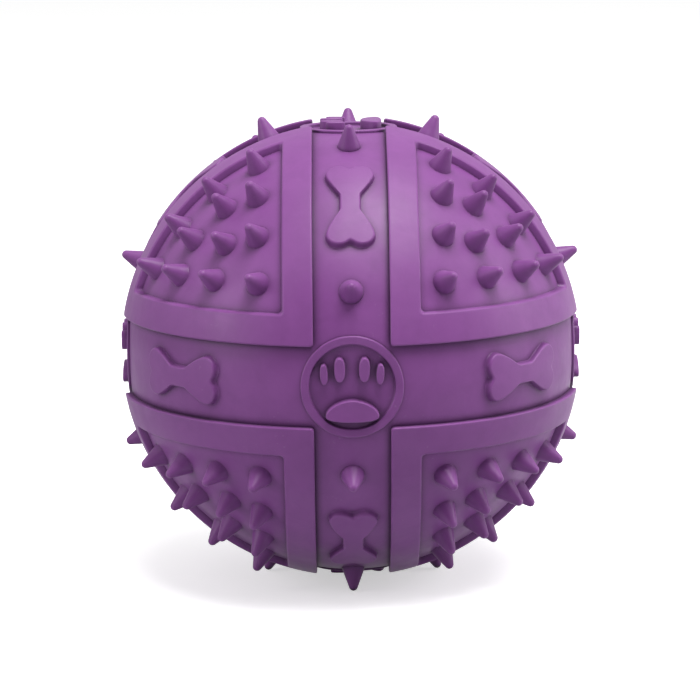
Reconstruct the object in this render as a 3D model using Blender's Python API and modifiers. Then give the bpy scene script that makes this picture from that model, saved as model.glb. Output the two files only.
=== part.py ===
"""Spiked squeak ball for a dog: two moulded rubber half shells bonded on a lap
joint, and a reed squeaker pressed into the rear half.

Metres, +Z up. The origin is the centre of the ball, -Y is its front, +X its
right. Three flat-floored channels run round the ball as great circles, in the
planes X = 0, Y = 0 (along the seam) and Z = 0. They meet at six crossings.
Between them stand eight raised three-sided frames, each with a sunk panel that
carries twelve spikes.
"""

import math

import bmesh
import bpy
from mathutils import Matrix, Vector

# All dimensions are in millimetres; meshes are scaled by MM as they are made.
MM = 0.001

# --- ball: radii from its centre ----------------------------------------------
FRAME_R = 45.0        # top of the raised frames: the ball is 90 mm over them
FLOOR_R = 43.6        # floor of the channels
PANEL_R = 43.8        # floor of the spiked panels
PANEL_CUT_R = FRAME_R + 3
BONE_R = 44.8         # top of the raised bones
TIP_R = 48.1          # tip of every spike
HOLLOW_R = 39.0       # inside of the rubber wall

SPHERE_DETAIL = (40, 20)    # segments, rings
HOLLOW_DETAIL = (32, 16)
REACH = 60.0          # half size of the boxes that pass right through the ball

CHANNEL_HALF = Vector((7.0, 6.6, 7.5))   # half widths of the channels X=0, Y=0, Z=0
FRAME_STRIP = 5.6                        # width of a frame's strip

# --- spikes ---------------------------------------------------------------------
SPIKE_FOOT = 2.15     # spike radius at the panel
SPIKE_END = 0.70      # spike radius at the tip
SPIKE_ROOT = 1.2      # how far a spike reaches down into the wall
SPIKE_SIDES = 6
# Distances of a panel's spike rows from the planes X = 0, Y = 0 and Z = 0, as
# direction cosines: an outer row along each strip, an inner row behind it.
# Behind the seam, the rows beside its channel stand a little further from it.
# Columns: side of the seam (sign of Y), outer row, inner row.
SPIKE_ROWS = (
    (-1.0, Vector((0.391, 0.365, 0.412)), Vector((0.526, 0.503, 0.553))),
    (1.0, Vector((0.391, 0.420, 0.412)), Vector((0.526, 0.545, 0.553))),
)
BAND_SPIKE_ANGLES = (23.0, 69.3)         # degrees above and below the plane Z = 0

# --- bones ----------------------------------------------------------------------
BONE_HALF_LENGTH = 9.2
BONE_LOBE_R = 2.55
BONE_LOBE_OFFSET = 2.1       # lobe centre off the bone's axis
BONE_LOBE_ARC = (128, -28)   # degrees, from the waist round to the end notch
BONE_LOBE_STEPS = 4
BONE_WAIST = (2.2, 2.05)     # waist corner: along the bone, half width
BONE_NOTCH = 0.75            # depth of the notch in each end
BONE_ROOT = 2.6              # depth of a bone below the channel floor
BONE_BAR_TOP = FRAME_R + 2   # bars before they are trimmed to BONE_R
BONE_ANGLE = 46.4     # degrees off the front or rear, on the channels X = 0 and Z = 0

# --- emblems at the crossings ---------------------------------------------------
RING_OUTER = 9.4
RING_INNER = 7.8
RING_TOP = 43.15
RING_DEPTH = 2.2
RING_SEGMENTS = 24
POCKET_FLOOR = 42.4   # flat floor inside the ring
POCKET_CUT = 4.0      # height of the pocket's cutter
PAW_TOP = 44.4
PAW_ROOT = 1.0        # depth of a paw below the pocket floor
# Toes of one side. Columns: across, up, half width, half height, lean in radians.
TOES = (
    (2.2, 3.35, 1.05, 2.2, -0.05),
    (5.05, 2.5, 0.85, 1.95, -0.14),
)
TOE_SIDES = 8
PAD_SIDES = 12
PAD_HALF_WIDTH = 4.8
PAD_UP = -4.3
PAD_RISE = 2.15       # half height of the pad above its centre
PAD_DROP = 1.7        # and below it

# Columns: outward normal, up, whether it carries a paw.
CROSSINGS = (
    ((0, -1, 0), (0, 0, 1), True),
    ((-1, 0, 0), (0, 0, 1), True),
    ((1, 0, 0), (0, 0, 1), True),
    ((0, 0, 1), (-1, 0, 0), True),
    ((0, 0, -1), (-1, 0, 0), True),
    ((0, 1, 0), (0, 0, 1), False),   # the rear ring surrounds the squeaker
)

# --- seam -----------------------------------------------------------------------
SEAM_GAP = 0.3        # clearance between the two halves
LAP_R = (40.0, 41.2)  # inner and outer radius of the front half's lap tongue
LAP_REACH = 1.35      # how far it reaches behind the plane Y = 0
LAP_ROOT = -1.2       # Y of its root in the front half
GROOVE_START = -1.0   # Y where the groove's cutter starts, clear of the rear half

# --- squeaker, on the axis X = Z = 0 at the rear crossing -------------------------
ROUND_SEGMENTS = 32
OUTSIDE_Y = 50.0      # Y beyond the rear of the ball, where cuts run out
BORE_R = 6.0
BORE_OVERRUN = 5.0    # how far the bore's cutter passes the boss
COUNTERBORE_R = 7.3
COUNTERBORE_FLOOR = 41.6
BOSS_R = 8.6
BOSS_Y = (30.0, 41.0)

HOUSING_R = 5.7
HOUSING_BORE_R = 4.2
HOUSING_BORE_FLOOR = 41.0
HOUSING_FLANGE_R = 7.0
HOUSING_FLANGE_BACK = 41.9
HOUSING_FACE = 43.1
HOUSING_CHAMFER = 0.3
HOUSING_INNER_END = 28.0
HOUSING_TAPER = 0.1   # radius lost at the inner end
LIP_HEIGHT = 0.7      # rim standing out near the inner end
LIP_Y = (29.3, 29.7)
AIR_HOLE_R = 0.95
AIR_HOLE_Z = -1.0
AIR_HOLE_Y = (38.0, 46.0)
AIR_HOLE_SEGMENTS = 16

REED_R = 3.9          # shallot, wedge and the cap's collar, in the housing's bore
REED_CHAMFER = 0.2

CAP_R = 5.4
CAP_Y = (26.8, 27.7)
CAP_CHAMFER = 0.3
COLLAR_INNER_R = 3.1
COLLAR_END = 30.5
GRILLE_HOLE_R = 0.6
GRILLE_SEGMENTS = 12
GRILLE_PITCH_R = 1.95
GRILLE_RING_COUNT = 6
GRILLE_Y = 27.2       # middle of the hole cutters
GRILLE_CUT = 6.0      # length of the hole cutters

SHALLOT_Y = (30.9, 40.7)
WEDGE_Y = (37.0, 40.7)
KEEP_HALF = 9.0       # half size, in X and Z, of the box that trims a rod
KEEP_Y = (20.0, OUTSIDE_Y)
AIR_PORT_LOW = (-1.5, 32.2, -2.0)
AIR_PORT_HIGH = (1.5, OUTSIDE_Y, 3.0)

REED_GAP = 0.3        # free space above and below the reed tongue's root
REED_THICK = 0.3
REED_HALF_WIDTH = 2.4
REED_Y = (31.6, 40.2)
REED_HINGE_Y = 37.0
REED_CORNER_R = 1.0
REED_CORNER_SEGMENTS = 4

SHARP_ANGLE = math.radians(30)
SIGNS = (-1.0, 1.0)
TO_Y = Matrix.Rotation(math.radians(-90), 4, "X")   # local +Z to world +Y

# --- scene and collections --------------------------------------------------------
for old in list(bpy.data.objects):
    bpy.data.objects.remove(old, do_unlink=True)

parts = bpy.data.collections.new("spiked_squeak_ball")
cutters = bpy.data.collections.new("cutters")
for group in (parts, cutters):
    bpy.context.scene.collection.children.link(group)


# --- materials --------------------------------------------------------------------
def material(name, colour, roughness):
    made = bpy.data.materials.new(name)
    made.use_nodes = True
    shader = made.node_tree.nodes["Principled BSDF"]
    shader.inputs["Base Color"].default_value = (*colour, 1.0)
    shader.inputs["Roughness"].default_value = roughness
    made.diffuse_color = (*colour, 1.0)
    return made


RUBBER_FRONT = material("rubber_front", colour=(0.205, 0.075, 0.225), roughness=0.55)
RUBBER_REAR = material("rubber_rear", colour=(0.200, 0.073, 0.220), roughness=0.56)
HOUSING_PLASTIC = material("housing_plastic", colour=(0.78, 0.76, 0.70), roughness=0.42)
CAP_PLASTIC = material("cap_plastic", colour=(0.74, 0.72, 0.67), roughness=0.45)
SHALLOT_PLASTIC = material("shallot_plastic", colour=(0.80, 0.79, 0.75), roughness=0.40)
TONGUE_FILM = material("tongue_film", colour=(0.86, 0.87, 0.84), roughness=0.25)
WEDGE_PLASTIC = material("wedge_plastic", colour=(0.70, 0.68, 0.63), roughness=0.45)


# --- objects and modifiers --------------------------------------------------------
def put(name, mesh, collection, finish=None):
    made = bpy.data.objects.new(name, mesh)
    collection.objects.link(made)
    if finish:
        mesh.materials.append(finish)
    if collection is cutters:
        made.hide_render = True
        made.display_type = "WIRE"
    return made


def solid(name, build, collection=cutters, finish=None):
    """An object whose mesh comes from build(shape), which works in millimetres."""
    shape = bmesh.new()
    build(shape)
    bmesh.ops.recalc_face_normals(shape, faces=shape.faces)
    bmesh.ops.scale(shape, vec=(MM, MM, MM), verts=shape.verts)
    mesh = bpy.data.meshes.new(name)
    shape.to_mesh(mesh)
    shape.free()
    return put(name, mesh, collection, finish)


def boolean(target, operation, other, solver="MANIFOLD"):
    """MANIFOLD copes with the ball's hundreds of nearly tangent facets, where
    EXACT drops shapes. The squeaker's plain cuts use EXACT."""
    step = target.modifiers.new(operation.lower() + "_" + other.name, "BOOLEAN")
    step.operation = operation
    step.object = other
    step.solver = solver


def turned(name, profile, steps, collection, finish=None, closed=False):
    """A Screw-turned shape round the world Y axis. The profile holds (radius, y)
    pairs; on its outer side it runs from high y to low y."""
    mesh = bpy.data.meshes.new(name)
    points = [(radius * MM, 0.0, y * MM) for radius, y in profile]
    edges = [(i, i + 1) for i in range(len(points) - 1)]
    if closed:
        edges.append((len(points) - 1, 0))
    mesh.from_pydata(points, edges, [])
    made = put(name, mesh, collection, finish)
    made.rotation_euler = (math.radians(-90), 0.0, 0.0)
    screw = made.modifiers.new("turn", "SCREW")
    screw.axis = "Z"
    screw.angle = math.tau
    screw.steps = steps
    screw.render_steps = steps
    screw.use_merge_vertices = True
    screw.merge_threshold = 1e-6
    return made


# --- basic shapes -----------------------------------------------------------------
def add_box(shape, low, high):
    low, high = Vector(low), Vector(high)
    place = Matrix.Translation((low + high) / 2) @ Matrix.Diagonal((*(high - low), 1.0))
    bmesh.ops.create_cube(shape, size=1.0, matrix=place)


def add_cone(shape, foot, end, depth, segments, place):
    """A capped cone along local Z, centred on its place."""
    bmesh.ops.create_cone(
        shape,
        cap_ends=True,
        segments=segments,
        radius1=foot,
        radius2=end,
        depth=depth,
        matrix=place,
    )


def add_prism(shape, outline, low, high, place):
    """An outline of (across, up) points, extruded outward from low to high."""
    base = [shape.verts.new(place @ Vector((across, up, low))) for across, up in outline]
    face = shape.faces.new(base)
    extruded = bmesh.ops.extrude_face_region(shape, geom=[face])["geom"]
    lifted = [item for item in extruded if isinstance(item, bmesh.types.BMVert)]
    lift = place.to_3x3() @ Vector((0, 0, high - low))
    bmesh.ops.translate(shape, vec=lift, verts=lifted)


def box(name, low, high):
    return solid(name, lambda shape: add_box(shape, low, high))


def sphere(name, radius, detail=SPHERE_DETAIL):
    """A sphere whose poles are the front and rear crossings."""
    segments, ring_count = detail

    def build(shape):
        bmesh.ops.create_uvsphere(
            shape, u_segments=segments, v_segments=ring_count, radius=radius, matrix=TO_Y
        )

    return solid(name, build)


def cylinder(name, radius, low, high, z=0.0, segments=ROUND_SEGMENTS):
    """A cylinder along Y, from low to high, with its axis at X = 0 and height z."""
    place = Matrix.Translation((0.0, (low + high) / 2, z)) @ TO_Y
    return solid(
        name, lambda shape: add_cone(shape, radius, radius, high - low, segments, place)
    )


def facing(normal, up):
    """Turns local X, Y, Z into across, up and outward at a place on the ball."""
    normal, up = Vector(normal).normalized(), Vector(up).normalized()
    across = up.cross(normal)
    return Matrix((across, up, normal)).transposed().to_4x4()


# --- frames, channels and panels ----------------------------------------------------
def cut_slabs(target, prefix, half_widths):
    """Cuts a slab out of the target along each of the three channel planes."""
    for axis, letter in enumerate("xyz"):
        high = Vector((REACH, REACH, REACH))
        high[axis] = half_widths[axis]
        boolean(target, "DIFFERENCE", box(f"{prefix}_{letter}", -high, high))


def panel_cutter():
    """Eight three-sided blocks, one over each panel."""
    made = sphere("panel_cut", PANEL_CUT_R)
    cut_slabs(made, "panel_slab", CHANNEL_HALF + Vector((FRAME_STRIP,) * 3))
    boolean(made, "DIFFERENCE", sphere("panel_floor", PANEL_R))
    return made


# --- emblems ------------------------------------------------------------------------
def pockets(shape):
    """A disc at each crossing, its edge midway under the ring."""
    radius = (RING_OUTER + RING_INNER) / 2
    lift = Matrix.Translation((0, 0, POCKET_FLOOR + POCKET_CUT / 2))
    for normal, up, _ in CROSSINGS:
        place = facing(normal, up) @ lift
        add_cone(shape, radius, radius, POCKET_CUT, RING_SEGMENTS, place)


def rings(shape):
    """A flat-topped annulus at each crossing, bridged from four circles."""
    section = (
        (RING_OUTER, RING_TOP - RING_DEPTH),
        (RING_OUTER, RING_TOP),
        (RING_INNER, RING_TOP),
        (RING_INNER, RING_TOP - RING_DEPTH),
    )
    for normal, up, _ in CROSSINGS:
        place = facing(normal, up)
        loops = []
        for radius, height in section:
            made = bmesh.ops.create_circle(
                shape,
                cap_ends=False,
                segments=RING_SEGMENTS,
                radius=radius,
                matrix=place @ Matrix.Translation((0, 0, height)),
            )
            loops.append(list({edge for vert in made["verts"] for edge in vert.link_edges}))
        for k in range(4):
            bmesh.ops.bridge_loops(shape, edges=loops[k] + loops[(k + 1) % 4])


def toe_outline(across, up, half_width, half_height, lean):
    """A leaning ellipse."""
    points = []
    for i in range(TOE_SIDES):
        angle = math.tau * i / TOE_SIDES
        a = half_width * math.cos(angle)
        b = half_height * math.sin(angle)
        points.append(
            (
                across + a * math.cos(lean) - b * math.sin(lean),
                up + a * math.sin(lean) + b * math.cos(lean),
            )
        )
    return points


def pad_outline():
    """Wider than tall, domed above and flatter below."""
    points = []
    for i in range(PAD_SIDES):
        angle = math.tau * i / PAD_SIDES
        half_height = PAD_RISE if math.sin(angle) > 0 else PAD_DROP
        points.append(
            (PAD_HALF_WIDTH * math.cos(angle), PAD_UP + half_height * math.sin(angle))
        )
    return points


def paws(shape):
    """Four toes over a pad, within the ring."""
    outlines = [
        toe_outline(side * across, up, half_width, half_height, side * lean)
        for side in SIGNS
        for across, up, half_width, half_height, lean in TOES
    ]
    outlines.append(pad_outline())
    for normal, up, has_paw in CROSSINGS:
        if has_paw:
            for outline in outlines:
                add_prism(shape, outline, POCKET_FLOOR - PAW_ROOT, PAW_TOP, facing(normal, up))


# --- bones --------------------------------------------------------------------------
def bone_outline():
    """Four lobes on a waisted bar. One quarter is traced, mirrored, then turned."""
    start, end = map(math.radians, BONE_LOBE_ARC)
    quarter = [BONE_WAIST]
    for i in range(BONE_LOBE_STEPS + 1):
        angle = start - i * (start - end) / BONE_LOBE_STEPS
        quarter.append(
            (
                BONE_HALF_LENGTH - BONE_LOBE_R + BONE_LOBE_R * math.cos(angle),
                BONE_LOBE_OFFSET + BONE_LOBE_R * math.sin(angle),
            )
        )
    notch = (BONE_HALF_LENGTH - BONE_NOTCH, 0.0)
    right = quarter + [notch] + [(along, -off) for along, off in reversed(quarter)]
    return right + [(-along, -off) for along, off in right]


def bone_places():
    """Between crossings on every channel, long axis along the channel."""
    found = []
    for i, j, degrees in ((0, 1, 90 - BONE_ANGLE), (0, 2, 45), (1, 2, BONE_ANGLE)):
        turn = math.radians(degrees)
        for a in SIGNS:
            for b in SIGNS:
                normal, along = Vector((0.0, 0.0, 0.0)), Vector((0.0, 0.0, 0.0))
                normal[i], normal[j] = a * math.cos(turn), b * math.sin(turn)
                along[i], along[j] = -b * math.sin(turn), a * math.cos(turn)
                # the outline's length is its first axis, so up lies across the channel
                found.append(facing(normal, normal.cross(along)))
    return found


def bones(shape):
    for place in bone_places():
        add_prism(shape, bone_outline(), FLOOR_R - BONE_ROOT, BONE_BAR_TOP, place)


# --- spikes -------------------------------------------------------------------------
def row_meeting(i, j, row):
    """Where the rows beside the planes of axes i and j meet, as a direction."""
    spot = Vector((0.0, 0.0, 0.0))
    spot[i], spot[j] = row[i], row[j]
    spot[3 - i - j] = math.sqrt(1.0 - row[i] ** 2 - row[j] ** 2)
    return spot


def panel_spike_directions(outer, inner):
    """Twelve directions in the octant of positive X, Y and Z. Three rows follow
    the strips, four to a row with shared ends, evenly spaced by angle; three more
    stand inside them."""
    pairs = ((0, 1), (0, 2), (1, 2))
    corners = {3 - i - j: row_meeting(i, j, outer) for i, j in pairs}
    found = list(corners.values())
    for fixed in range(3):
        i, j = (k for k in range(3) if k != fixed)
        first, last = corners[i], corners[j]
        first_turn = math.atan2(first[j], first[i])
        last_turn = math.atan2(last[j], last[i])
        reach = math.hypot(first[i], first[j])
        for share in (1 / 3, 2 / 3):
            turn = first_turn + (last_turn - first_turn) * share
            spot = Vector((0.0, 0.0, 0.0))
            spot[fixed] = outer[fixed]
            spot[i], spot[j] = reach * math.cos(turn), reach * math.sin(turn)
            found.append(spot)
    return found + [row_meeting(i, j, inner) for i, j in pairs]


def band_spike_directions():
    """Two spikes to a quarter turn, on the channels Y = 0 and X = 0."""
    found = []
    for level_axis in (0, 1):
        for turn in map(math.radians, BAND_SPIKE_ANGLES):
            for a in SIGNS:
                for b in SIGNS:
                    spot = Vector((0.0, 0.0, b * math.sin(turn)))
                    spot[level_axis] = a * math.cos(turn)
                    found.append(spot)
    return found


def spikes(shape):
    directions = [
        Vector((x * spot.x, y * spot.y, z * spot.z))
        for y, outer, inner in SPIKE_ROWS
        for spot in panel_spike_directions(outer, inner)
        for x in SIGNS
        for z in SIGNS
    ] + band_spike_directions()
    slope = (SPIKE_FOOT - SPIKE_END) / (TIP_R - PANEL_R)
    root_radius = SPIKE_FOOT + slope * SPIKE_ROOT
    low = PANEL_R - SPIKE_ROOT
    lift = Matrix.Translation((0, 0, (TIP_R + low) / 2))
    for direction in directions:
        turn = direction.to_track_quat("Z", "Y").to_matrix().to_4x4()
        add_cone(shape, root_radius, SPIKE_END, TIP_R - low, SPIKE_SIDES, turn @ lift)


# --- the ball -----------------------------------------------------------------------
def build_relief():
    """The ball's outer relief, one closed solid."""
    made = sphere("relief_frames", FRAME_R)
    cut_slabs(made, "slab", CHANNEL_HALF)
    boolean(made, "UNION", sphere("channel_floor", FLOOR_R))
    boolean(made, "DIFFERENCE", panel_cutter())
    boolean(made, "DIFFERENCE", solid("pockets", pockets))
    boolean(made, "UNION", solid("rings", rings))
    boolean(made, "UNION", solid("paws", paws))
    bone_bars = solid("bones", bones)
    boolean(bone_bars, "INTERSECT", sphere("bone_top", BONE_R))
    boolean(made, "UNION", bone_bars)
    boolean(made, "UNION", solid("spikes", spikes))
    return made


def half_shell(name, y_range, finish, relief, hollow):
    low = (-REACH, y_range[0], -REACH)
    high = (REACH, y_range[1], REACH)
    made = solid(name, lambda shape: add_box(shape, low, high), parts, finish)
    boolean(made, "INTERSECT", relief)
    boolean(made, "DIFFERENCE", hollow)
    return made


def lap_ring(name, start, clearance=0.0):
    """The lap joint's ring from Y = start, grown by the clearance."""
    inner, outer = LAP_R[0] - clearance, LAP_R[1] + clearance
    end = LAP_REACH + clearance
    profile = [(outer, end), (outer, start), (inner, start), (inner, end)]
    return turned(name, profile, SPHERE_DETAIL[0], cutters, closed=True)


def build_front_shell(relief, hollow):
    made = half_shell("shell_front", (-REACH, -SEAM_GAP / 2), RUBBER_FRONT, relief, hollow)
    boolean(made, "UNION", lap_ring("lap_tongue", LAP_ROOT))


def build_rear_shell(relief, hollow):
    made = half_shell("shell_rear", (SEAM_GAP / 2, REACH), RUBBER_REAR, relief, hollow)
    boolean(made, "DIFFERENCE", lap_ring("lap_groove", GROOVE_START, SEAM_GAP))
    boolean(made, "UNION", cylinder("boss", BOSS_R, *BOSS_Y))
    bore = cylinder("bore", BORE_R, BOSS_Y[0] - BORE_OVERRUN, OUTSIDE_Y)
    boolean(made, "DIFFERENCE", bore)
    counterbore = cylinder("counterbore", COUNTERBORE_R, COUNTERBORE_FLOOR, OUTSIDE_Y)
    boolean(made, "DIFFERENCE", counterbore)


# --- the squeaker -------------------------------------------------------------------
def build_housing():
    """A flanged cup, open towards the inside of the ball."""
    profile = [
        (0.0, HOUSING_FACE),
        (HOUSING_FLANGE_R - HOUSING_CHAMFER, HOUSING_FACE),
        (HOUSING_FLANGE_R, HOUSING_FACE - HOUSING_CHAMFER),
        (HOUSING_FLANGE_R, HOUSING_FLANGE_BACK),
        (HOUSING_R, HOUSING_FLANGE_BACK),
        (HOUSING_R, LIP_Y[1]),
        (HOUSING_R + LIP_HEIGHT, LIP_Y[1]),
        (HOUSING_R + LIP_HEIGHT, LIP_Y[0]),
        (HOUSING_R - HOUSING_TAPER, HOUSING_INNER_END),
        (HOUSING_BORE_R, HOUSING_INNER_END),
        (HOUSING_BORE_R, HOUSING_BORE_FLOOR),
        (0.0, HOUSING_BORE_FLOOR),
    ]
    made = turned("squeaker_housing", profile, ROUND_SEGMENTS, parts, HOUSING_PLASTIC)
    air_hole = cylinder(
        "air_hole", AIR_HOLE_R, *AIR_HOLE_Y, z=AIR_HOLE_Z, segments=AIR_HOLE_SEGMENTS
    )
    boolean(made, "DIFFERENCE", air_hole, "EXACT")


def grille(shape):
    """A hole on the axis and a ring of holes round it."""
    spots = [(0.0, 0.0)]
    for i in range(GRILLE_RING_COUNT):
        angle = math.tau * i / GRILLE_RING_COUNT
        spots.append((GRILLE_PITCH_R * math.cos(angle), GRILLE_PITCH_R * math.sin(angle)))
    for x, z in spots:
        place = Matrix.Translation((x, GRILLE_Y, z)) @ TO_Y
        add_cone(shape, GRILLE_HOLE_R, GRILLE_HOLE_R, GRILLE_CUT, GRILLE_SEGMENTS, place)


def build_cap():
    """A disc over the housing's inner end, with a collar inside its bore."""
    low, high = CAP_Y
    profile = [
        (0.0, high),
        (COLLAR_INNER_R, high),
        (COLLAR_INNER_R, COLLAR_END),
        (REED_R, COLLAR_END),
        (REED_R, high),
        (CAP_R, high),
        (CAP_R, low + CAP_CHAMFER),
        (CAP_R - CAP_CHAMFER, low),
        (0.0, low),
    ]
    made = turned("squeaker_cap", profile, ROUND_SEGMENTS, parts, CAP_PLASTIC)
    boolean(made, "DIFFERENCE", solid("grille", grille), "EXACT")


def trimmed_rod(name, y_range, low_z, high_z, finish):
    """A rod on the squeaker's axis, kept only between two heights."""
    low, high = y_range
    profile = [
        (0.0, high),
        (REED_R - REED_CHAMFER, high),
        (REED_R, high - REED_CHAMFER),
        (REED_R, low + REED_CHAMFER),
        (REED_R - REED_CHAMFER, low),
        (0.0, low),
    ]
    made = turned(name, profile, ROUND_SEGMENTS, parts, finish)
    keep = box(
        name + "_keep", (-KEEP_HALF, KEEP_Y[0], low_z), (KEEP_HALF, KEEP_Y[1], high_z)
    )
    boolean(made, "INTERSECT", keep, "EXACT")
    return made


def build_shallot():
    made = trimmed_rod("reed_shallot", SHALLOT_Y, -KEEP_HALF, 0.0, SHALLOT_PLASTIC)
    boolean(made, "DIFFERENCE", box("air_port", AIR_PORT_LOW, AIR_PORT_HIGH), "EXACT")


def build_wedge():
    trimmed_rod("reed_wedge", WEDGE_Y, 2 * REED_GAP + REED_THICK, KEEP_HALF, WEDGE_PLASTIC)


def reed_strip(shape):
    """A thin strip with rounded corners, its origin at the hinge."""
    add_box(
        shape,
        (-REED_HALF_WIDTH, REED_Y[0] - REED_HINGE_Y, -REED_THICK / 2),
        (REED_HALF_WIDTH, REED_Y[1] - REED_HINGE_Y, REED_THICK / 2),
    )
    upright = [
        edge
        for edge in shape.edges
        if (edge.verts[0].co - edge.verts[1].co).xy.length < 1e-6
    ]
    bmesh.ops.bevel(
        shape,
        geom=upright,
        offset=REED_CORNER_R,
        segments=REED_CORNER_SEGMENTS,
        affect="EDGES",
        profile=0.5,
    )


def build_reed_tongue():
    """Its origin is on the edge of the clamp, where it bends."""
    made = solid("reed_tongue", reed_strip, parts, TONGUE_FILM)
    made.location = (0.0, REED_HINGE_Y * MM, (REED_GAP + REED_THICK / 2) * MM)


# --- build --------------------------------------------------------------------------
ball_relief = build_relief()
ball_hollow = sphere("hollow", HOLLOW_R, HOLLOW_DETAIL)
build_front_shell(ball_relief, ball_hollow)
build_rear_shell(ball_relief, ball_hollow)
build_housing()
build_cap()
build_shallot()
build_wedge()
build_reed_tongue()

for part in parts.objects:
    part.data.shade_smooth()
    part.data.set_sharp_from_angle(angle=SHARP_ANGLE)
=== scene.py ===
import math

import bmesh
import bpy
import numpy as np
from mathutils import Matrix, Vector


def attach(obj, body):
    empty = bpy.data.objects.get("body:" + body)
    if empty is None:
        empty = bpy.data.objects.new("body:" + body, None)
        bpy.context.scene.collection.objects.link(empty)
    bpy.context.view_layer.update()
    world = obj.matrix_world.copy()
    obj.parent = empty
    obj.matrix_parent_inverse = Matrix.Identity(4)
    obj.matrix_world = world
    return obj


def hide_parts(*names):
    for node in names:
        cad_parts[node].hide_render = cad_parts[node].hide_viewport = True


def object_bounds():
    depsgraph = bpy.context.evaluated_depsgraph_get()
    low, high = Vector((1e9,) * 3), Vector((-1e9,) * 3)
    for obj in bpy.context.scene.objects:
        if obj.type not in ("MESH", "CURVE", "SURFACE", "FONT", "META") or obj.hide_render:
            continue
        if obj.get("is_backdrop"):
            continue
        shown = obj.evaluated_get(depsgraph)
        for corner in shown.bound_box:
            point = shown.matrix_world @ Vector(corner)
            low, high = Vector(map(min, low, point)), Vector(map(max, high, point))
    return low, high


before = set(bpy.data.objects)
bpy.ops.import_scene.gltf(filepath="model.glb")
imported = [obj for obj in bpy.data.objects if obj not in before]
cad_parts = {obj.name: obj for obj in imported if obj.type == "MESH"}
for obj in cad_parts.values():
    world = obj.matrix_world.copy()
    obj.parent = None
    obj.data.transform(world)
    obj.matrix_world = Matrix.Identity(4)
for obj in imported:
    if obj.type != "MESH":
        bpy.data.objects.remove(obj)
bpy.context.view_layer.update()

MM = 0.001

# --- the ball's dimensions, millimetres, as in the CAD ------------------------
R_FRAME, R_FLOOR, R_PANEL, R_BONE, R_TIP, R_HOLLOW = 45.0, 43.6, 43.8, 44.8, 48.1, 39.0
PANEL_FLOOR = 43.4    # the panels are moulded a little deeper between their frames
HALF = np.array((7.0, 6.6, 7.5))
STRIP = 5.6
OUTER_ROW, INNER_ROW = (0.391, 0.365, 0.412), (0.526, 0.503, 0.553)
REAR_OUTER_ROW, REAR_INNER_ROW = (0.391, 0.420, 0.412), (0.526, 0.545, 0.553)
BAND_SPIKE_ANGLES = (23.0, 69.3)
BONE_ANGLE = 46.4
RING_OUTER, RING_INNER, RING_TOP, POCKET_FLOOR, PAW_TOP = 9.4, 7.8, 43.15, 42.4, 44.4
SEAM = 0.05           # what is left of the bonded seam at the surface
TONGUE_R, TONGUE_REACH, LAP_GAP = (40.0, 41.2), 1.35, 0.3

EDGE = 0.38           # rounding of the moulded edges
FOOT = 0.25           # fillet where a wall meets a floor


# --- solids from loops ----------------------------------------------------------
def mesh_object(name, points, faces):
    mesh = bpy.data.meshes.new(name)
    mesh.from_pydata((np.asarray(points) * MM).tolist(), [], faces)
    mesh.validate()
    made = bpy.data.objects.new(name, mesh)
    bpy.context.scene.collection.objects.link(made)
    return made


def loft(loops, low_centre, top_centre):
    """(points, faces) of a closed solid: matching loops from the foot up, each end
    closed by a fan to a point. The loops run anticlockwise seen from outside."""
    count = len(loops[0])
    points = np.concatenate([np.asarray(loop) for loop in loops] + [[low_centre], [top_centre]])
    faces = []
    for row in range(len(loops) - 1):
        a, b = row * count, (row + 1) * count
        for i in range(count):
            j = (i + 1) % count
            faces.append((a + i, a + j, b + j, b + i))
    low, top = len(points) - 2, len(points) - 1
    last = (len(loops) - 1) * count
    for i in range(count):
        j = (i + 1) % count
        faces.append((j, i, low))
        faces.append((last + i, last + j, top))
    return points, faces


def gather(name, solids):
    """Disjoint solids as one mesh object."""
    points, faces, base = [], [], 0
    for p, f in solids:
        points.append(p)
        faces += [tuple(base + i for i in face) for face in f]
        base += len(p)
    return mesh_object(name, np.concatenate(points), faces)


def evaluated(obj, name):
    bpy.context.view_layer.update()
    graph = bpy.context.evaluated_depsgraph_get()
    mesh = bpy.data.meshes.new_from_object(obj.evaluated_get(graph), depsgraph=graph)
    made = bpy.data.objects.new(name, mesh)
    bpy.context.scene.collection.objects.link(made)
    return made


def combine(first, operation, second, keep_first=False, keep_second=False):
    step = first.modifiers.new("step", "BOOLEAN")
    step.operation, step.solver, step.object = operation, "MANIFOLD", second
    made = evaluated(first, first.name + "_" + operation[0])
    if keep_first:
        first.modifiers.remove(step)
    else:
        bpy.data.objects.remove(first)
    if not keep_second:
        bpy.data.objects.remove(second)
    return made


def lathe(profile, place, sides):
    """A turned solid from (radius, height) pairs, foot first; it starts and ends
    near the axis, and is closed there by fans."""
    turn = np.arange(sides) * math.tau / sides
    loops = []
    for radius, height in profile:
        local = np.stack(
            (radius * np.cos(turn), radius * np.sin(turn), np.full(sides, height)), 1
        )
        loops.append(local)
    points, faces = loft(loops, (0, 0, profile[0][1]), (0, 0, profile[-1][1]))
    return moved(points, place), faces


def moved(points, place):
    m = np.array(place)
    return points @ m[:3, :3].T + m[:3, 3]


def facing(normal, up):
    normal, up = Vector(normal).normalized(), Vector(up).normalized()
    return Matrix((up.cross(normal), up, normal)).transposed().to_4x4()


def ball(name, radius, level):
    mesh = bpy.data.meshes.new(name)
    shape = bmesh.new()
    bmesh.ops.create_icosphere(shape, subdivisions=level, radius=radius * MM)
    shape.to_mesh(mesh)
    shape.free()
    made = bpy.data.objects.new(name, mesh)
    bpy.context.scene.collection.objects.link(made)
    return made


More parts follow.
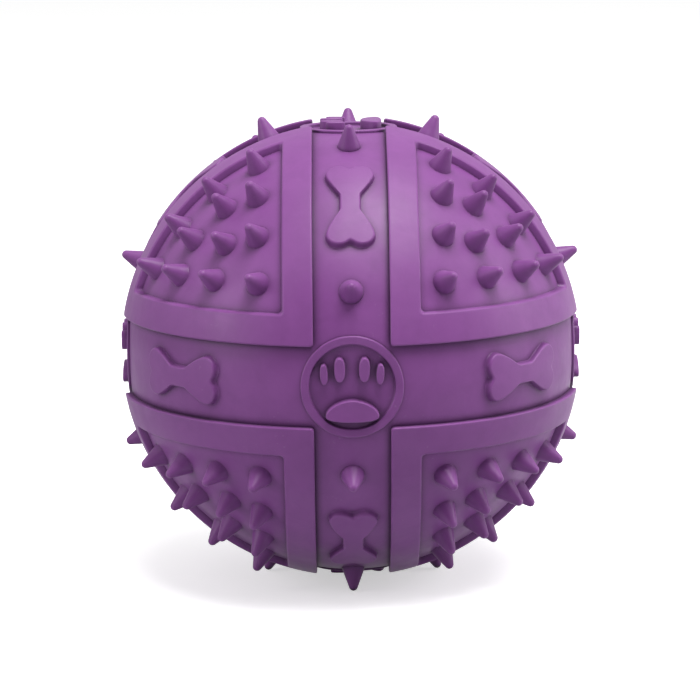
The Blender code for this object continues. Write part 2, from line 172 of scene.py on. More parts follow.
def block(name, low, high):
    mesh = bpy.data.meshes.new(name)
    shape = bmesh.new()
    low, high = Vector(low) * MM, Vector(high) * MM
    bmesh.ops.create_cube(
        shape,
        size=1.0,
        matrix=Matrix.Translation((low + high) / 2) @ Matrix.Diagonal((*(high - low), 1.0)),
    )
    shape.to_mesh(mesh)
    shape.free()
    made = bpy.data.objects.new(name, mesh)
    bpy.context.scene.collection.objects.link(made)
    return made


# --- raised frame and sunk panel of one octant -----------------------------------
SIDE_POINTS, CORNER_POINTS = 44, 6


def octant_loop(radius, inset, corner):
    """The outline of a three-sided region on the sphere of this radius, inset from
    the channel walls, with rounded corners. Positive octant, anticlockwise."""
    loop = []
    for i, j, k in ((0, 2, 1), (2, 1, 0), (1, 0, 2)):
        a = HALF + inset
        # along the wall of axis i, from the corner with k to the corner with j
        reach = math.sqrt(radius**2 - a[i] ** 2)
        first = math.asin(min(1.0, (a[k] + corner) / reach))
        last = math.acos(min(1.0, (a[j] + corner) / reach))
        for t in np.linspace(first, last, SIDE_POINTS):
            spot = np.zeros(3)
            spot[i], spot[j], spot[k] = a[i], reach * math.cos(t), reach * math.sin(t)
            loop.append(spot)
        for s in np.linspace(0, math.pi / 2, CORNER_POINTS + 2)[1:-1]:
            spot = np.zeros(3)
            spot[i] = a[i] + corner * (1 - math.cos(s))
            spot[j] = a[j] + corner * (1 - math.sin(s))
            spot[k] = math.sqrt(radius**2 - spot[i] ** 2 - spot[j] ** 2)
            loop.append(spot)
    return np.array(loop[::-1])


def octant():
    arc = [math.radians(a) for a in (0, 18, 36, 54, 72, 90)]
    loops = [octant_loop(R_FLOOR - 1.4, 0.0, 0.6)]
    for a in arc:                                     # outer edge of the strip
        loops.append(
            octant_loop(R_FRAME - EDGE * (1 - math.sin(a)), EDGE * (1 - math.cos(a)), 0.6)
        )
    for share in (0.25, 0.5, 0.75):                   # across the strip
        inset = EDGE + (STRIP - 2 * EDGE) * share
        loops.append(octant_loop(R_FRAME, inset, 0.7))
    for a in arc:                                     # inner edge
        loops.append(
            octant_loop(
                R_FRAME - EDGE * (1 - math.cos(a)), STRIP - EDGE * (1 - math.sin(a)), 0.8
            )
        )
    for a in arc[0::2][1:] + [math.radians(90)]:
        loops.append(
            octant_loop(
                PANEL_FLOOR + FOOT * (1 - math.sin(a)), STRIP + FOOT * (1 - math.cos(a)), 0.8
            )
        )
    start = STRIP + FOOT
    centre = np.ones(3) / math.sqrt(3)
    # the inset at which the outline closes on one point
    h = HALF
    b, c = 2 * h.sum(), (h**2).sum() - PANEL_FLOOR**2
    most = (-b + math.sqrt(b * b - 12 * c)) / 6
    for share in np.linspace(0, 1, 13)[1:-1]:
        loops.append(octant_loop(PANEL_FLOOR, start + (most - start) * share, 0.8 * (1 - share)))
    top = HALF + most
    return loft(loops, centre * (R_FLOOR - 4.0), top)


def mirrored(solid, signs):
    points, faces = solid
    points = points * np.array(signs)
    if np.prod(signs) < 0:
        faces = [tuple(reversed(face)) for face in faces]
    return points, faces


SIGNS = [(x, y, z) for x in (1, -1) for y in (1, -1) for z in (1, -1)]


# --- bones ------------------------------------------------------------------------
def smooth_min(a, b, k):
    h = np.clip(0.5 + 0.5 * (b - a) / k, 0, 1)
    return b + (a - b) * h - k * h * (1 - h)


def bone_field(u, v):
    """Distance outside the bone's outline, about: four lobes on a bar."""
    dx, dy = np.abs(u) - 6.3, np.abs(v) - 1.85
    bar = np.hypot(np.maximum(dx, 0), np.maximum(dy, 0)) + np.minimum(np.maximum(dx, dy), 0)
    lobe_a = np.hypot(np.abs(u) - 6.65, np.abs(v) - 2.1) - 2.55
    lobe_b = np.hypot(np.abs(u) - 6.65, np.abs(v) + 2.1) - 2.55
    return smooth_min(smooth_min(lobe_a, lobe_b, 0.9), bar, 1.1)


def outline_at(field, turns, level):
    """The level line of a field that only rises outward, on rays from the origin.
    The waist runs into the lobes in soft curves, and the notch at each end is kept."""
    rays = np.arange(1440) * math.tau / 1440
    low, high = np.full(len(rays), 0.3), np.full(len(rays), 14.0)
    for _ in range(44):
        middle = (low + high) / 2
        inside = field(middle * np.cos(rays), middle * np.sin(rays)) < level
        low, high = np.where(inside, middle, low), np.where(inside, high, middle)
    spread = np.exp(-0.5 * (np.arange(-48, 49) * 0.25 / 3.2) ** 2)
    soft = np.convolve(np.concatenate((low[-48:], low, low[:48])), spread / spread.sum(), "valid")
    off_axis = np.degrees(np.arctan2(np.abs(np.sin(rays)), np.abs(np.cos(rays))))
    share = np.clip((off_axis - 15) / 12, 0, 1)
    share = share * share * (3 - 2 * share)
    reach = low + (soft - low) * share
    reach = np.interp(turns, np.append(rays, math.tau), np.append(reach, reach[0]))
    return np.stack((reach * np.cos(turns), reach * np.sin(turns)), 1)


def even_turns(field, count):
    """Ray angles whose points are evenly spaced along the outline."""
    turns = np.linspace(0, math.tau, 2401)
    line = outline_at(field, turns, 0.0)
    run = np.concatenate([[0], np.cumsum(np.hypot(*np.diff(line, axis=0).T))])
    return np.interp(np.arange(count) * run[-1] / count, run, turns)


BONE_TURNS = even_turns(bone_field, 108)


def bone(place):
    def on(flat, radius):
        return np.column_stack((flat, np.sqrt(radius**2 - (flat**2).sum(1))))

    edge = 0.34
    loops = []
    foot = outline_at(bone_field, BONE_TURNS, 0.22)
    loops.append(on(foot, R_BONE) - (0, 0, 4.2))
    loops.append(on(foot, R_FLOOR - 0.05))
    loops.append(on(outline_at(bone_field, BONE_TURNS, 0.06), R_FLOOR + 0.12))
    loops.append(on(outline_at(bone_field, BONE_TURNS, 0.0), R_FLOOR + 0.34))
    for a in (0, 18, 36, 54, 72, 90):
        a = math.radians(a)
        flat = outline_at(bone_field, BONE_TURNS, -edge * (1 - math.cos(a)))
        loops.append(on(flat, R_BONE - edge * (1 - math.sin(a))))
    for share in (0.86, 0.7, 0.54, 0.38, 0.22, 0.1):
        loops.append(on(flat * share, R_BONE))
    points, faces = loft(loops, (0, 0, R_FLOOR - 4.0), (0, 0, R_BONE))
    return moved(points, place), faces


def bone_places():
    found = []
    for i, j, turn in ((0, 1, 90 - BONE_ANGLE), (0, 2, 45), (1, 2, BONE_ANGLE)):
        turn = math.radians(turn)
        for a in (-1.0, 1.0):
            for b in (-1.0, 1.0):
                normal, along = Vector((0, 0, 0)), Vector((0, 0, 0))
                normal[i], normal[j] = a * math.cos(turn), b * math.sin(turn)
                along[i], along[j] = -b * math.sin(turn), a * math.cos(turn)
                found.append(facing(normal, normal.cross(along)))
    return found


# --- emblems at the crossings --------------------------------------------------------
CROSSINGS = [
    ((0, -1, 0), (0, 0, 1), True),
    ((-1, 0, 0), (0, 0, 1), True),
    ((1, 0, 0), (0, 0, 1), True),
    ((0, 0, 1), (-1, 0, 0), True),
    ((0, 0, -1), (-1, 0, 0), True),
    ((0, 1, 0), (0, 0, 1), False),
]


def ring_profile():
    arc = [math.radians(a) for a in (0, 22.5, 45, 67.5, 90)]
    edge = 0.3
    profile = [(3.0, 40.8), (RING_OUTER, 40.8), (RING_OUTER, 42.2)]
    for a in arc:
        profile.append((RING_OUTER - edge * (1 - math.cos(a)), RING_TOP - edge * (1 - math.sin(a))))
    for a in arc:
        profile.append((RING_INNER + edge * (1 - math.sin(a)), RING_TOP - edge * (1 - math.cos(a))))
    for a in arc[1:]:
        profile.append(
            (RING_INNER - FOOT * (1 - math.cos(a)), POCKET_FLOOR + FOOT * (1 - math.sin(a)))
        )
    for radius in (6.2, 4.5, 2.5, 0.8):
        profile.append((radius, POCKET_FLOOR))
    return profile


def toe(u, v, half_u, highest, lowest, lean, place, bow_top=2.3, bow_low=2.3):
    """A raised flat-topped pad with a rounded rim. Its centre line is at height v,
    and the bow of its upper and lower half runs from pointed to square."""
    count = 56
    turns = np.arange(count) * math.tau / count
    cos, sin = np.cos(turns), np.sin(turns)
    bow = np.where(sin > 0, bow_top, bow_low)
    reach = np.where(sin > 0, highest, lowest)
    unit_u = np.sign(cos) * np.abs(cos) ** (2 / bow)
    unit_v = np.sign(sin) * np.abs(sin) ** (2 / bow)
    rim = np.stack((unit_u * half_u, unit_v * reach), 1)
    ahead_of = np.roll(rim, -1, 0) - np.roll(rim, 1, 0)
    out = np.stack((ahead_of[:, 1], -ahead_of[:, 0]), 1)
    out /= np.linalg.norm(out, axis=1)[:, None]
    edge = 0.24
    loops = []

    def at(flat, height):
        placed = np.stack(
            (
                flat[:, 0] * math.cos(lean) - flat[:, 1] * math.sin(lean) + u,
                flat[:, 0] * math.sin(lean) + flat[:, 1] * math.cos(lean) + v,
            ),
            1,
        )
        return np.column_stack((placed, np.full(count, height)))

    for grow, height in ((0.1, -1.0), (0.1, -0.02), (0.03, 0.09), (0.0, 0.28)):
        loops.append(at(rim + out * grow, POCKET_FLOOR + height))
    for a in (0, 22.5, 45, 67.5, 90):
        a = math.radians(a)
        flat = rim - out * edge * (1 - math.cos(a))
        loops.append(at(flat, PAW_TOP - edge * (1 - math.sin(a))))
    middle = np.array((0.0, (highest - lowest) * 0.45))
    for share in (0.7, 0.4, 0.15):
        loops.append(at(middle + (flat - middle) * share, PAW_TOP))
    heart = at(np.tile(middle, (count, 1)), PAW_TOP)[0]
    points, faces = loft(loops, (heart[0], heart[1], POCKET_FLOOR - 1.0), tuple(heart))
    return moved(points, place), faces


def paw(place):
    found = []
    for side in (-1, 1):
        found.append(toe(side * 2.25, 3.3, 1.0, 2.2, 2.2, side * -0.02, place))
        found.append(toe(side * 5.1, 2.5, 0.72, 1.85, 1.85, side * -0.05, place))
    found.append(toe(0, -5.15, 4.85, 2.85, 1.2, 0.0, place, 1.75, 2.4))
    return found


# --- spikes ---------------------------------------------------------------------------
def panel_spike_directions(outer, inner):
    def meet(i, j, row):
        spot = np.zeros(3)
        spot[i], spot[j] = row[i], row[j]
        spot[3 - i - j] = math.sqrt(1.0 - row[i] ** 2 - row[j] ** 2)
        return spot

    corners = {3 - i - j: meet(i, j, outer) for i, j in ((0, 1), (0, 2), (1, 2))}
    found = list(corners.values())
    for fixed in range(3):
        i, j = (k for k in range(3) if k != fixed)
        first, last = corners[i], corners[j]
        turn_1 = math.atan2(first[j], first[i])
        turn_2 = math.atan2(last[j], last[i])
        reach = math.hypot(first[i], first[j])
        for share in (1 / 3, 2 / 3):
            turn = turn_1 + (turn_2 - turn_1) * share
            spot = np.zeros(3)
            spot[fixed] = outer[fixed]
            spot[i], spot[j] = reach * math.cos(turn), reach * math.sin(turn)
            found.append(spot)
    found += [meet(i, j, inner) for i, j in ((0, 1), (0, 2), (1, 2))]
    return found


def band_spike_directions():
    found = []
    for other in (0, 1):
        for turn in map(math.radians, BAND_SPIKE_ANGLES):
            for a in (-1, 1):
                for b in (-1, 1):
                    spot = np.zeros(3)
                    spot[2], spot[other] = b * math.sin(turn), a * math.cos(turn)
                    found.append(spot)
    return found


def spike_profile(floor):
    """(radius, distance from the ball's centre) of a moulded cone with a flared
    foot and a round tip."""
    tip, foot, end = R_TIP, 2.17, 0.86
    slope = (foot - end) / (R_TIP - 0.6 - R_PANEL)
    # the flank leans inward, so the round tip starts where it is square to the flank
    lean = math.atan(slope)
    start_r = end * math.cos(lean)
    profile = [(foot + 0.5, floor - 1.2), (foot + 0.10, floor - 0.03)]
    for grow, rise in ((0.05, 0.06), (0.0, 0.5)):
        profile.append((foot + grow - slope * (floor + rise - R_PANEL), floor + rise))
    centre = tip - end
    flank_top = centre + end * math.sin(lean)
    middle = (floor + 0.6 + flank_top) / 2
    low_r = foot - slope * (floor + 0.6 - R_PANEL)
    profile.append(((low_r + start_r) / 2, middle))
    for a in (0.0, 0.2, 0.42, 0.64, 0.84):
        angle = lean + (math.pi / 2 - lean) * a
        profile.append((end * math.cos(angle), centre + end * math.sin(angle)))
    return profile, tip


def spike(direction, floor):
    profile, tip = spike_profile(floor)
    turn = Vector(direction).to_track_quat("Z", "Y").to_matrix().to_4x4()
    sides = 20
    angles = np.arange(sides) * math.tau / sides
    loops = [
        np.stack((r * np.cos(angles), r * np.sin(angles), np.full(sides, h)), 1)
        for r, h in profile
    ]
    points, faces = loft(loops, (0, 0, profile[0][1]), (0, 0, tip))
    return moved(points, turn), faces


# --- the whole relief -------------------------------------------------------------------
relief = ball("relief", R_FLOOR, 7)
one = octant()
relief = combine(relief, "UNION", gather("octants", [mirrored(one, s) for s in SIGNS]))
relief = combine(
    relief,
    "DIFFERENCE",
    gather(
        "pockets",
        [
            lathe([(4.0, 41.6), (8.6, 41.6), (8.6, 46.5), (4.0, 46.5)], facing(n, u), 96)
            for n, u, _ in CROSSINGS
        ],
    ),
)
profile = ring_profile()
relief = combine(
    relief, "UNION", gather("rings", [lathe(profile, facing(n, u), 96) for n, u, _ in CROSSINGS])
)
relief = combine(
    relief,
    "UNION",
    gather("paws", [s for n, u, marked in CROSSINGS if marked for s in paw(facing(n, u))]),
)
relief = combine(relief, "UNION", gather("bones", [bone(place) for place in bone_places()]))
panel_spikes = [
    spike(d * np.array((x, y, z)), PANEL_FLOOR)
    for y, outer, inner in (
        (-1, OUTER_ROW, INNER_ROW),
        (1, REAR_OUTER_ROW, REAR_INNER_ROW),
    )
    for d in panel_spike_directions(outer, inner)
    for x in (1, -1)
    for z in (1, -1)
]
band_spikes = [spike(d, R_FLOOR) for d in band_spike_directions()]
relief = combine(relief, "UNION", gather("spikes", panel_spikes + band_spikes))


# --- two half shells ----------------------------------------------------------------------
def lap(radii, low, high):
    """A ring round the Y axis, between two radii and two heights."""
    place = Matrix.Rotation(math.radians(-90), 4, "X")
    sides = 180
    turn = np.arange(sides) * math.tau / sides
    points = np.concatenate(
        [
            np.stack((r * np.cos(turn), r * np.sin(turn), np.full(sides, h)), 1)
            for r, h in ((radii[1], low), (radii[1], high), (radii[0], high), (radii[0], low))
        ]
    )
    faces = []
    for k in range(4):
        a, b = k * sides, ((k + 1) % 4) * sides
        for i in range(sides):
            j = (i + 1) % sides
            faces.append((a + i, a + j, b + j, b + i))
    return moved(points, place), faces


hollow = ball("hollow", R_HOLLOW, 6)
halves = {}
for name, low, high in (
    ("visual_shell_front", (-60, -60, -60), (60, -SEAM / 2, 60)),
    ("visual_shell_rear", (-60, SEAM / 2, -60), (60, 60, 60)),
):
    half = combine(block(name + "_block", low, high), "INTERSECT", relief, keep_second=True)
    half = combine(half, "DIFFERENCE", hollow, keep_second=True)
    halves[name] = half
bpy.data.objects.remove(hollow)
bpy.data.objects.remove(relief)

front = combine(
    halves["visual_shell_front"], "UNION", gather("lap_tongue", [lap(TONGUE_R, -1.2, TONGUE_REACH)])
)
rear = combine(
    halves["visual_shell_rear"],
    "DIFFERENCE",
    gather(
        "lap_groove",
        [lap((TONGUE_R[0] - LAP_GAP, TONGUE_R[1] + LAP_GAP), -1.0, TONGUE_REACH + LAP_GAP)],
    ),
)
AFT = facing((0, 1, 0), (0, 0, 1))
rear = combine(
    rear,
    "UNION",
    gather("boss", [lathe([(4, 30.4), (8.1, 30.0), (8.5, 30.2), (8.6, 30.6), (8.6, 41.0), (4, 41.0)], AFT, 72)]),
)
rear = combine(
    rear, "DIFFERENCE", gather("bore", [lathe([(3, 25), (6.0, 25), (6.0, 50), (3, 50)], AFT, 72)])
)
rear = combine(
    rear,
    "DIFFERENCE",
    gather(
        "counterbore",
        [lathe([(3, 41.6), (7.3, 41.6), (7.3, 42.65), (7.55, 42.95), (7.55, 50), (3, 50)], AFT, 72)],
    ),
)


# --- squeaker housing and cap, with their moulded edges -------------------------------------
def turned_visual(name, profile, sides=96):
    return gather(name, [lathe(profile, AFT, sides)])


def rounded(points, radius, steps=4):
    """A profile with its inner corners replaced by arcs of about this radius."""
    done = [points[0]]
    for before, at, after in zip(points, points[1:], points[2:]):
        a, b, c = (np.array(p, float) for p in (before, at, after))
        ab, cb = a - b, c - b
        la, lc = np.linalg.norm(ab), np.linalg.norm(cb)
        r = min(radius, la * 0.45, lc * 0.45)
        p, q = b + ab / la * r, b + cb / lc * r
        for t in np.linspace(0, 1, steps + 1):
            done.append(tuple((1 - t) ** 2 * p + 2 * t * (1 - t) * b + t * t * q))
    done.append(points[-1])
    return done


def tube_solid(name, profile, sides=96):
    """A turned solid whose profile is a closed loop away from the axis."""
    turn = np.arange(sides) * math.tau / sides
    points = np.concatenate(
        [np.stack((r * np.cos(turn), r * np.sin(turn), np.full(sides, h)), 1) for r, h in profile]
    )
    faces = []
    for k in range(len(profile)):
        a, b = k * sides, ((k + 1) % len(profile)) * sides
        for i in range(sides):
            j = (i + 1) % sides
            faces.append((a + i, a + j, b + j, b + i))
    return mesh_object(name, moved(points, AFT), faces)


housing_shape = rounded(
    [
        (1.2, 41.0), (4.2, 41.0), (4.2, 28.0), (5.6, 28.0), (6.4, 29.3), (6.4, 29.7),
        (5.7, 29.7), (5.7, 41.9), (7.0, 41.9), (7.0, 43.1), (4.4, 43.1), (4.1, 42.85),
        (2.2, 42.85), (1.2, 42.85),
    ],
    0.22,
)
housing = turned_visual("visual_squeaker_housing", housing_shape)
hole = gather(
    "air_hole",
    [
        lathe(
            [(0.4, 39.0), (0.95, 39.0), (0.95, 42.55), (1.05, 42.72), (1.3, 42.87), (1.3, 46), (0.4, 46)],
            AFT @ Matrix.Translation((0, -1.0, 0)),
            40,
        )
    ],
)
housing = combine(housing, "DIFFERENCE", hole)

cap_shape = rounded(
    [
        (1.0, 26.8), (5.1, 26.8), (5.4, 27.1), (5.4, 27.7), (3.9, 27.7), (3.9, 30.5),
        (3.1, 30.5), (3.1, 27.7), (1.0, 27.7),
    ],
    0.15,
)
cap = turned_visual("visual_squeaker_cap", cap_shape)
spots = [(0.0, 0.0)] + [
    (1.95 * math.cos(math.tau * i / 6), 1.95 * math.sin(math.tau * i / 6)) for i in range(6)
]
cap = combine(
    cap,
    "DIFFERENCE",
    gather(
        "grille",
        [
            lathe([(0.3, 25.5), (0.6, 25.5), (0.6, 29.0), (0.3, 29.0)], AFT @ Matrix.Translation((x, z, 0)), 28)
            for x, z in spots
        ],
    ),
)


# --- shading ------------------------------------------------------------------------------------
def true_normals(mesh):
    """Gives the ball's spherical surfaces and the emblems' flats the normals of the
    true shapes, so that a Boolean's uneven triangles don't show in the shading."""
    count = len(mesh.vertices)
    at = np.empty(count * 3)
    mesh.vertices.foreach_get("co", at)
    at = at.reshape(-1, 3) / MM
    radius = np.linalg.norm(at, axis=1)
    away = at / radius[:, None]
    loops = len(mesh.loops)
    vertex = np.empty(loops, np.int64)
    mesh.loops.foreach_get("vertex_index", vertex)
    polygons = len(mesh.polygons)
    sizes = np.empty(polygons, np.int64)
    mesh.polygons.foreach_get("loop_total", sizes)
    face_of = np.repeat(np.arange(polygons), sizes)
    facing_to = np.empty(polygons * 3)
    mesh.polygons.foreach_get("normal", facing_to)
    facing_to = facing_to.reshape(-1, 3)
    normals = np.empty(loops * 3, np.float32)
    mesh.corner_normals.foreach_get("vector", normals)
    normals = normals.reshape(-1, 3).astype(float)
    starts = np.concatenate([[0], np.cumsum(sizes)[:-1]])

    def settle(target, on):
        """Faces whose corners are all on the surface, and that face along it."""
        whole = np.minimum.reduceat(on[vertex].astype(np.int8), starts).astype(bool)
        along = (target[vertex[starts]] * facing_to).sum(1) > math.cos(math.radians(7))
        face = whole & along
        touched = np.zeros(count, bool)
        touched[vertex[face[face_of]]] = True
        near = (normals * target[vertex]).sum(1) > math.cos(math.radians(16))
        use = face[face_of] | (touched[vertex] & near)
        normals[use] = target[vertex[use]]

    for level in (R_FLOOR, PANEL_FLOOR, R_BONE, R_FRAME):
        settle(away, np.abs(radius - level) < 0.012)
    for normal, up, _ in CROSSINGS:
        axis = np.array(normal, float)
        height = at @ axis
        flat = np.tile(axis, (count, 1))
        for level in (RING_TOP, POCKET_FLOOR, PAW_TOP):
            off_axis = np.sqrt(np.maximum(radius**2 - height**2, 0))
            settle(flat, (np.abs(height - level) < 0.004) & (off_axis < RING_OUTER))
    mesh.normals_split_custom_set(normals.tolist())


def finish(obj, name, body, material, replaced, angle=34, exact=False):
    obj.name = name
    obj.data.name = name
    obj.data.materials.clear()
    obj.data.materials.append(material)
    for face in obj.data.polygons:
        face.material_index = 0
    obj.data.shade_smooth()
    obj.data.set_sharp_from_angle(angle=math.radians(angle))
    if exact:
        true_normals(obj.data)
    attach(obj, body)
    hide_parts(replaced)
    return obj


class Nodes:
    """Short calls for building a material's node tree."""

    def __init__(self, name):
        self.material = bpy.data.materials.new(name)
        self.material.use_nodes = True
        self.tree = self.material.node_tree
        self.shader = self.tree.nodes["Principled BSDF"]

    def add(self, kind, **inputs):
        node = self.tree.nodes.new(kind)
        for key, value in inputs.items():
            if hasattr(node, key):
                setattr(node, key, value)
            else:
                self.set(node, key.replace("_", " "), value)
        return node

    def set(self, node, socket, value):
        target = node.inputs[socket]
        if isinstance(value, bpy.types.NodeSocket):
            self.tree.links.new(value, target)
        else:
            target.default_value = value

    def noise(self, coords, scale, detail=4.0, rough=0.5, distortion=0.0):
        node = self.tree.nodes.new("ShaderNodeTexNoise")
        self.set(node, "Vector", coords)
        self.set(node, "Scale", scale)
        self.set(node, "Detail", detail)
        self.set(node, "Roughness", rough)
        self.set(node, "Distortion", distortion)
        return node.outputs["Fac"]

    def span(self, value, low, high, to_low=0.0, to_high=1.0):
        node = self.tree.nodes.new("ShaderNodeMapRange")
        for i, v in enumerate((value, low, high, to_low, to_high)):
            self.set(node, i, v)
        return node.outputs[0]

    def math(self, operation, a, b=0.0, c=None):
        node = self.tree.nodes.new("ShaderNodeMath")
        node.operation = operation
        self.set(node, 0, a)
        self.set(node, 1, b)
        if c is not None:
            self.set(node, 2, c)
        return node.outputs[0]

    def mix(self, share, a, b):
        node = self.tree.nodes.new("ShaderNodeMix")
        node.data_type = "RGBA"
        self.set(node, 0, share)
        self.set(node, 6, a)
        self.set(node, 7, b)
        return node.outputs[2]

    def bump(self, height, strength, distance, under=None):
        node = self.tree.nodes.new("ShaderNodeBump")
        self.set(node, "Height", height)
        self.set(node, "Strength", strength)
        self.set(node, "Distance", distance)
        if under is not None:
            self.set(node, "Normal", under)
        return node.outputs["Normal"]


def rubber(name, tone):
    n = Nodes(name)
    coords = n.tree.nodes.new("ShaderNodeTexCoord").outputs["Object"]
    geometry = n.tree.nodes.new("ShaderNodeNewGeometry")
    base = tuple(c * tone for c in (0.192, 0.051, 0.228)) + (1.0,)
    light = tuple(c * tone for c in (0.250, 0.082, 0.292)) + (1.0,)
    dark = tuple(c * tone for c in (0.135, 0.034, 0.163)) + (1.0,)
    # deep is the colour of the painted shade in corners and creases
    deep = tuple(c * tone for c in (0.036, 0.008, 0.045)) + (1.0,)
    # rim is the colour of the painted highlight along the moulded edges
    rim = tuple(c * tone for c in (0.330, 0.135, 0.370)) + (1.0,)
    dust = (0.40, 0.28, 0.42, 1.0)
    broad = n.span(n.noise(coords, 38.0, 3.0, 0.55), 0.32, 0.70)
    colour = n.mix(n.math("MULTIPLY", broad, 0.45), base, light)
    cloud = n.span(n.noise(coords, 210.0, 4.0, 0.6, 0.4), 0.40, 0.72)
    colour = n.mix(n.math("MULTIPLY", cloud, 0.30), colour, dark)
    # painted shade: ambient occlusion darkens the corners and creases towards a deep purple
    hollow_of = n.tree.nodes.new("ShaderNodeAmbientOcclusion")
    hollow_of.samples = 6
    hollow_of.inputs["Distance"].default_value = 0.0016
    painted_crease_shade = n.span(hollow_of.outputs["AO"], 0.90, 0.48)
    colour = n.mix(n.math("MULTIPLY", painted_crease_shade, 0.90), colour, deep)
    # painted highlight: the moulded edges are lightened where the bevelled normal turns away from the surface's
    # own
    rounded = n.tree.nodes.new("ShaderNodeBevel")
    rounded.samples = 6
    rounded.inputs["Radius"].default_value = 0.00030
    turned = n.tree.nodes.new("ShaderNodeVectorMath")
    turned.operation = "DOT_PRODUCT"
    n.tree.links.new(rounded.outputs["Normal"], turned.inputs[0])
    n.tree.links.new(geometry.outputs["Normal"], turned.inputs[1])
    edge = n.span(turned.outputs["Value"], 0.994, 0.92)
    edge = n.math("MULTIPLY", edge, n.span(hollow_of.outputs["AO"], 0.82, 0.92))
    colour = n.mix(n.math("MULTIPLY", edge, 0.80), colour, rim)
    speck = n.span(n.noise(coords, 1500.0, 2.0, 0.5), 0.66, 0.74)
    patch = n.span(n.noise(coords, 90.0, 2.0, 0.5), 0.50, 0.68)
    specks = n.math("MULTIPLY", n.math("MULTIPLY", speck, patch), 0.12)
    colour = n.mix(specks, colour, dust)
    n.set(n.shader, "Base Color", colour)
    rough = n.span(n.noise(coords, 130.0, 4.0, 0.6), 0.3, 0.7, 0.38, 0.54)
    # the painted-highlight edge mask also lowers the roughness along the edges
    rough = n.math("ADD", rough, n.math("MULTIPLY", edge, -0.06))
    n.set(n.shader, "Roughness", rough)
    n.set(n.shader, "Specular IOR Level", 0.32)
    n.set(n.shader, "Sheen Weight", 0.07)
    n.set(n.shader, "Sheen Roughness", 0.55)
    n.set(n.shader, "Sheen Tint", (0.86, 0.68, 0.88, 1.0))
    fine = n.bump(n.noise(coords, 2600.0, 3.0, 0.6), 0.22, 0.00003)
    uneven = n.bump(n.noise(coords, 320.0, 3.0, 0.55), 0.30, 0.00010, fine)
    soft = n.bump(n.noise(coords, 70.0, 2.0, 0.5), 0.25, 0.00030, uneven)
    n.set(n.shader, "Normal", soft)
    return n.material


def plastic(name, colour, roughness, tone_and_shade_depth):
    n = Nodes(name)
    coords = n.tree.nodes.new("ShaderNodeTexCoord").outputs["Object"]
    geometry = n.tree.nodes.new("ShaderNodeNewGeometry")
    pale = tuple(min(1.0, c * 1.10) for c in colour) + (1.0,)
    # deep is the darker tone of the random mottling and also the colour of the painted shade in hollows
    deep = tuple(c * tone_and_shade_depth for c in colour) + (1.0,)
    broad = n.span(n.noise(coords, 160.0, 3.0, 0.55), 0.3, 0.7)
    tint = n.mix(n.math("MULTIPLY", broad, 0.5), tuple(colour) + (1.0,), deep)
    # painted highlight: convex edges are lightened towards a paler tint
    edge = n.span(geometry.outputs["Pointiness"], 0.51, 0.60)
    tint = n.mix(n.math("MULTIPLY", edge, 0.5), tint, pale)
    # painted shade: concave corners are darkened towards the deep tint
    painted_hollow_shade = n.span(geometry.outputs["Pointiness"], 0.49, 0.40)
    tint = n.mix(n.math("MULTIPLY", painted_hollow_shade, 0.4), tint, deep)
    n.set(n.shader, "Base Color", tint)
    n.set(
        n.shader,
        "Roughness",
        n.span(n.noise(coords, 420.0, 4.0, 0.6), 0.3, 0.7, roughness - 0.06, roughness + 0.08),
    )
    fine = n.bump(n.noise(coords, 3800.0, 2.0, 0.5), 0.15, 0.00002)
    n.set(n.shader, "Normal", n.bump(n.noise(coords, 500.0, 3.0, 0.5), 0.15, 0.00004, fine))
    return n.material


front = finish(front, "visual_shell_front", "ball", rubber("rubber_front_look", 1.0), "shell_front", exact=True)
rear = finish(rear, "visual_shell_rear", "ball", rubber("rubber_rear_look", 0.985), "shell_rear", exact=True)
housing = finish(
    housing, "visual_squeaker_housing", "ball",
    plastic("housing_look", (0.78, 0.76, 0.70), 0.42, 0.86), "squeaker_housing",
)
cap = finish(
    cap, "visual_squeaker_cap", "ball",
    plastic("cap_look", (0.74, 0.72, 0.67), 0.45, 0.86), "squeaker_cap",
)
for node, look in (
    ("reed_shallot", plastic("shallot_look", (0.80, 0.79, 0.75), 0.40, 0.88)),
    ("reed_wedge", plastic("wedge_look", (0.70, 0.68, 0.63), 0.45, 0.86)),
    ("reed_tongue", plastic("tongue_look", (0.84, 0.86, 0.82), 0.26, 0.93)),
):
    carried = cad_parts[node]
    carried.data.materials.clear()
    carried.data.materials.append(look)


# --- floor, light and camera ---------------------------------------------------------------------
low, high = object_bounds()


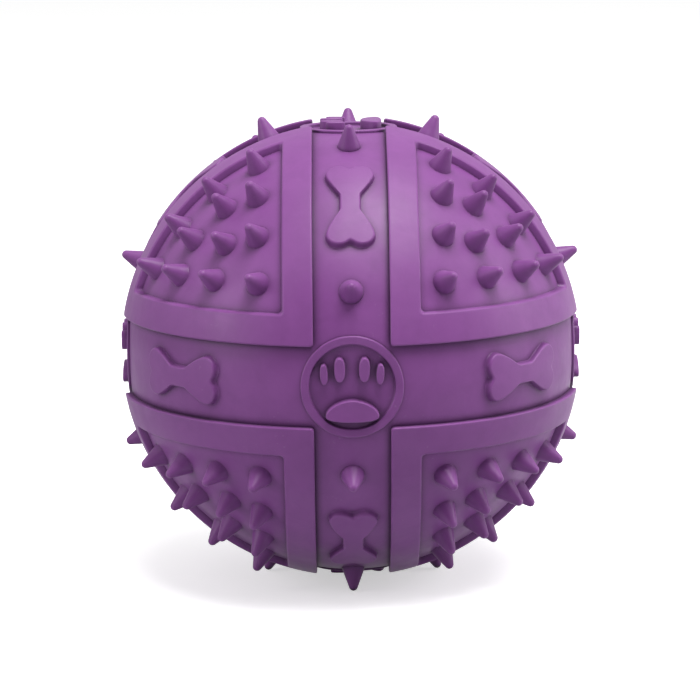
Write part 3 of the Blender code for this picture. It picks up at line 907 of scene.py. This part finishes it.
def floor():
    """A wide pale floor. It looks paler to the camera and in reflections than it lights the ball."""
    z = low.z - 0.0002
    mesh = bpy.data.meshes.new("floor")
    mesh.from_pydata([(-9, -9, z), (9, -9, z), (9, 9, z), (-9, 9, z)], [], [(0, 1, 2, 3)])
    made = bpy.data.objects.new("floor", mesh)
    bpy.context.scene.collection.objects.link(made)
    n = Nodes("floor_paper")
    path = n.tree.nodes.new("ShaderNodeLightPath").outputs
    seen = path["Is Camera Ray"]
    n.set(n.shader, "Base Color", n.mix(seen, FLOOR_ALBEDO, (0.90, 0.90, 0.90, 1.0)))
    n.set(n.shader, "Roughness", 0.95)
    n.set(n.shader, "Specular IOR Level", 0.0)
    n.set(n.shader, "Emission Color", (1.0, 1.0, 1.0, 1.0))
    # the rubber's sheen picks up the pale floor at a low angle, most of all on its right
    place = n.tree.nodes.new("ShaderNodeNewGeometry").outputs["Position"]
    parts = n.tree.nodes.new("ShaderNodeSeparateXYZ")
    n.tree.links.new(place, parts.inputs[0])
    bright = n.span(parts.outputs["X"], -0.15, 0.15, 0.10, 0.62)
    sheen = n.math("MULTIPLY", path["Is Glossy Ray"], bright)
    glow = n.math("MAXIMUM", n.math("MULTIPLY", seen, FLOOR_GLOW), sheen)
    n.set(n.shader, "Emission Strength", glow)
    mesh.materials.append(n.material)
    made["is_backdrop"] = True


def area(name, place, size, power, target=(0, 0, 0)):
    lamp = bpy.data.lights.new(name, "AREA")
    lamp.shape = "RECTANGLE"
    lamp.size, lamp.size_y = size
    lamp.energy = power
    made = bpy.data.objects.new(name, lamp)
    bpy.context.scene.collection.objects.link(made)
    made.location = place
    made.rotation_mode = "QUATERNION"
    made.rotation_quaternion = (Vector(target) - Vector(place)).to_track_quat("-Z", "Y")
    made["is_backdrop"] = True


FLOOR_ALBEDO, FLOOR_GLOW = (0.42, 0.42, 0.44, 1.0), 0.50
floor()
area("top", (0.16, -0.22, 0.85), (0.6, 0.5), 10.0)
area("left", (-0.80, -0.32, 0.30), (0.4, 0.6), 2.6)
area("right", (0.85, 0.02, 0.36), (0.4, 0.7), 3.2)

# a light tent: even all round, dimmer towards the camera
world = bpy.data.worlds.new("studio")
world.use_nodes = True
sky = world.node_tree
way = sky.nodes.new("ShaderNodeTexCoord").outputs["Generated"]
parts = sky.nodes.new("ShaderNodeSeparateXYZ")
sky.links.new(way, parts.inputs[0])
ramp = sky.nodes.new("ShaderNodeMapRange")
ramp.inputs[1].default_value, ramp.inputs[2].default_value = -0.9, 0.1
ramp.inputs[3].default_value, ramp.inputs[4].default_value = 0.16, 0.62
sky.links.new(parts.outputs["Y"], ramp.inputs[0])
sky.links.new(ramp.outputs[0], sky.nodes["Background"].inputs[1])
sky.nodes["Background"].inputs[0].default_value = (1.0, 1.0, 1.0, 1.0)
bpy.context.scene.world = world

DISTANCE, SCALE = 553.1, 5.1038
YAW, PITCH, ROLL = 0.0051, 0.1763, -0.0099
CENTRE = (350.6, 345.5)
turn = (
    Matrix.Rotation(ROLL, 3, "Y") @ Matrix.Rotation(PITCH, 3, "X") @ Matrix.Rotation(YAW, 3, "Z")
)
back = turn.transposed()
right, ahead, up = (back @ Vector(v) for v in ((1, 0, 0), (0, 1, 0), (0, 0, 1)))
lens = bpy.data.cameras.new("camera")
lens.sensor_width = 36.0
lens.lens = SCALE * DISTANCE * 36.0 / 700.0
lens.shift_x = -(CENTRE[0] - 350.0) / 700.0
lens.shift_y = (CENTRE[1] - 350.0) / 700.0
lens.clip_start, lens.clip_end = 0.01, 20.0
camera = bpy.data.objects.new("camera", lens)
bpy.context.scene.collection.objects.link(camera)
camera.matrix_world = Matrix.Translation(ahead * (-DISTANCE * MM)) @ Matrix(
    (right, up, -ahead)
).transposed().to_4x4()
bpy.context.scene.camera = camera

bpy.context.scene.view_settings.view_transform = "Standard"
